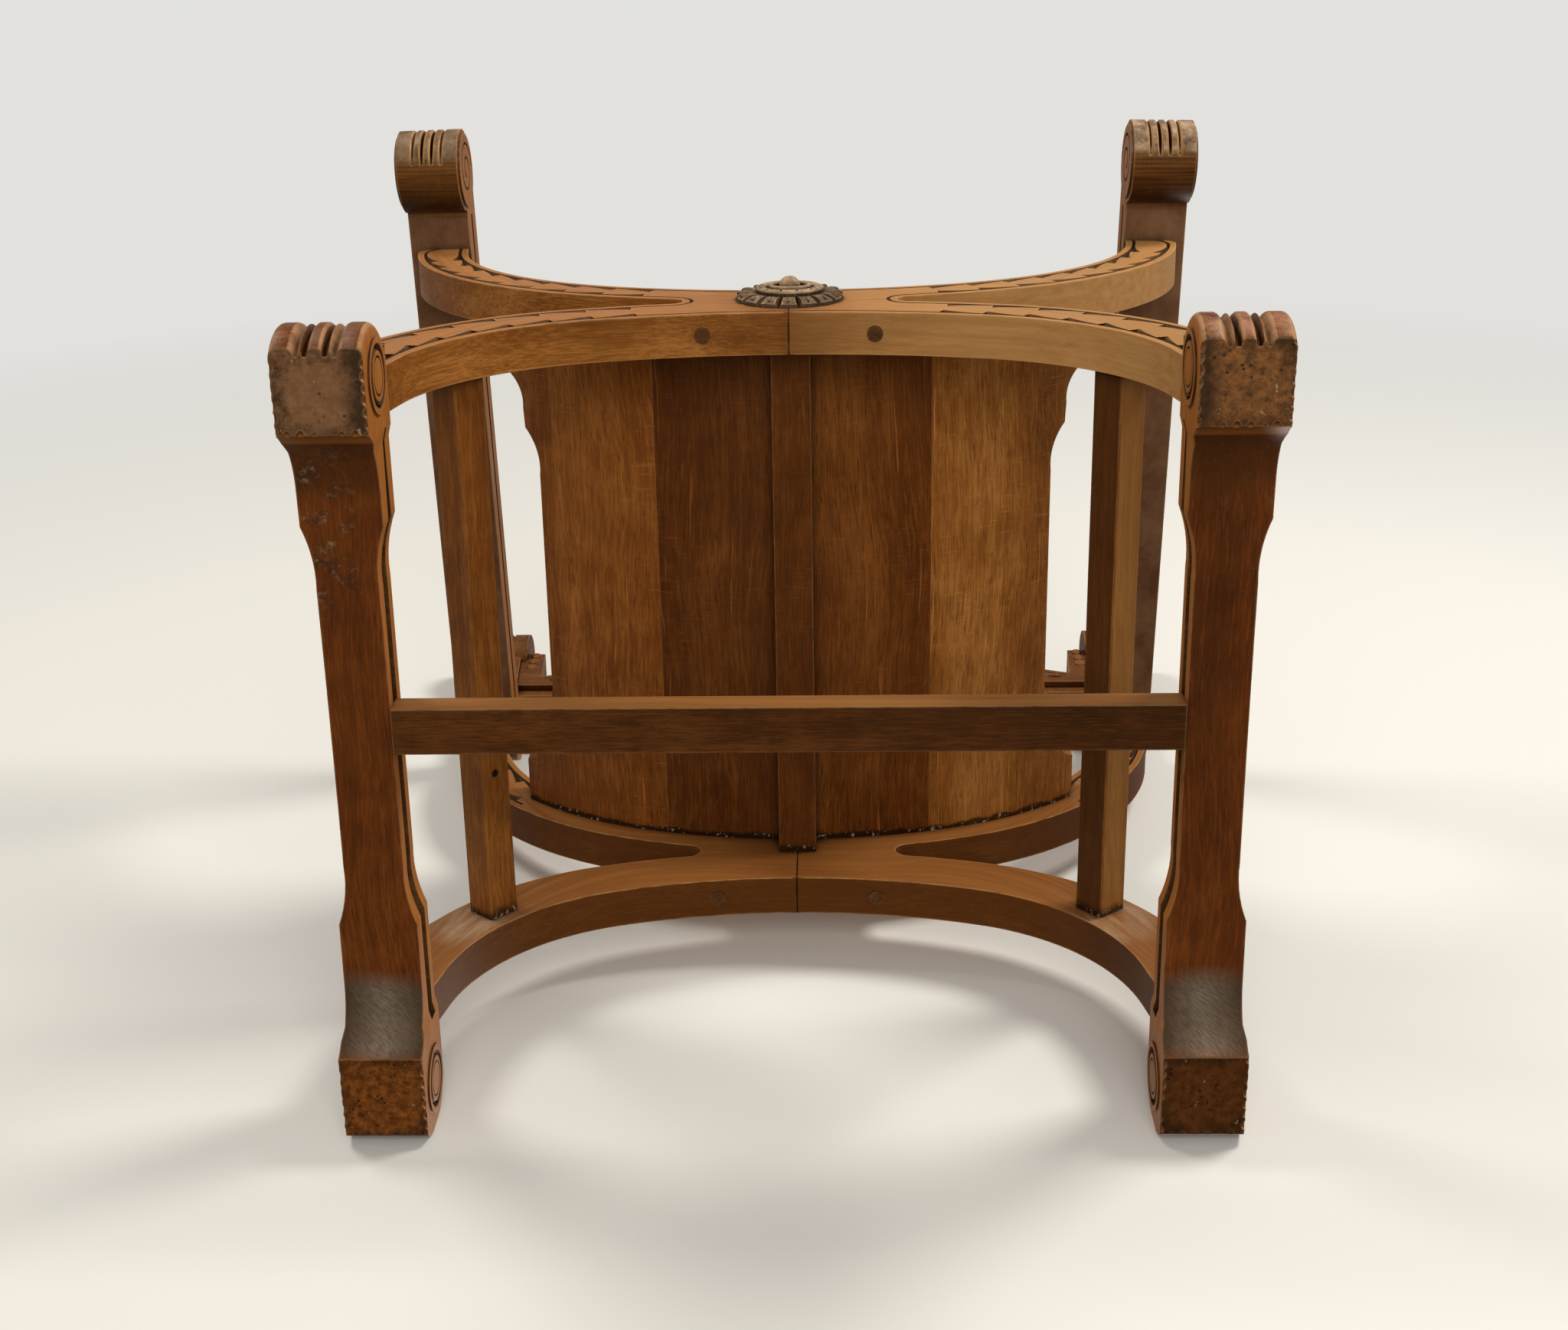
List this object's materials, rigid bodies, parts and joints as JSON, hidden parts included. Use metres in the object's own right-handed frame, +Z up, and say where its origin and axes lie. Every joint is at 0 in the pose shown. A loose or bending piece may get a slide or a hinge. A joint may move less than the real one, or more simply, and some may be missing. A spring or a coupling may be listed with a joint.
{
  "type": "armchair",
  "caption": "Wooden X-frame armchair of the savonarola pattern: paired crossed frames, curved board seat, scrolled arms, carved back, sledge feet.",
  "frame": {"origin": "middle of the chair's plan box, on the floor that the four pads stand on", "axes": "+Z up, the chair faces -Y, +X towards the right of someone looking at its front"},
  "size_m": [0.762, 0.6829, 0.94],
  "materials": {
    "runner": "worn",
    "frame": "satin",
    "seat": "satin",
    "rail": "satin",
    "arm": "satin",
    "back": "satin",
    "joinery": "plain"
  },
  "bodies": {
    "root": {"runner_left": "runner", "runner_right": "runner", "front_frame_left": "frame", "front_frame_right": "frame", "rear_frame_left": "frame", "rear_frame_right": "frame", "front_tongue": "joinery", "rear_tongue": "joinery", "front_frame_pegs": "joinery", "rear_frame_pegs": "joinery", "front_boss": "frame", "side_rail_left": "rail", "side_rail_right": "rail", "rail_dowels": "joinery", "rib_dowels": "joinery", "centre_stretcher": "rail", "centre_rib": "rail", "seat_board_outer_left": "seat", "seat_board_inner_left": "seat", "seat_board_inner_right": "seat", "seat_board_outer_right": "seat", "arm_left": "arm", "arm_right": "arm", "back_post_left": "back", "back_post_right": "back", "back_lower_rail": "back", "back_panel": "back", "crest_rail": "back"}
  },
  "joints": []
}
